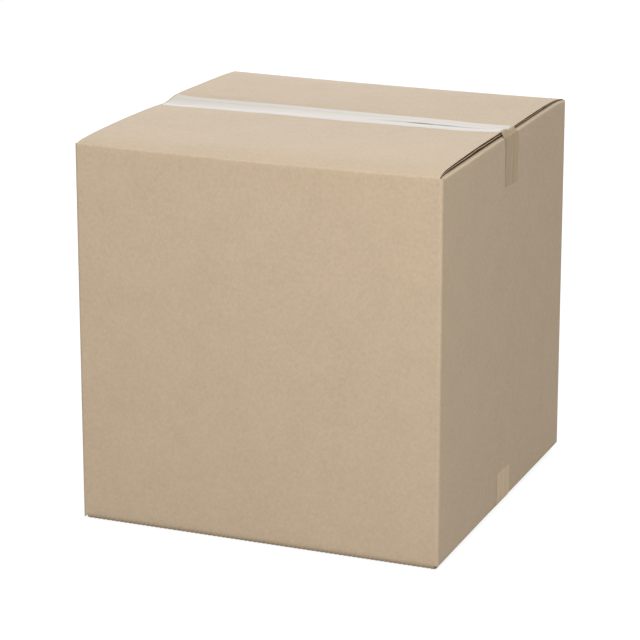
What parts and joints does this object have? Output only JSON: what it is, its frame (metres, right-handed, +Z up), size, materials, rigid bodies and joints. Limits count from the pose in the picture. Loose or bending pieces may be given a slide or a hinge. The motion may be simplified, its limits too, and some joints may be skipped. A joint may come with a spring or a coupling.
{
  "type": "closed corrugated cardboard carton",
  "caption": "Closed square carton of double-wall corrugated board, folded from one blank and sealed with clear tape along the top and bottom seams.",
  "frame": {"origin": "centre of the footprint, on the floor that the box stands on", "axes": "+X along the front wall and the taped seam, +Y towards the back wall, +Z up"},
  "size_m": [0.4714, 0.471, 0.486],
  "materials": {
    "kraft_board": "plain brown kraft liner, matt, with fine fibres and faint flute lines",
    "clear_tape": "thin clear packing film, glossy, slightly wrinkled where it turns down"
  },
  "bodies": {
    "root": {"carton": "kraft_board", "top_tape": "clear_tape", "bottom_tape": "clear_tape"}
  },
  "joints": []
}
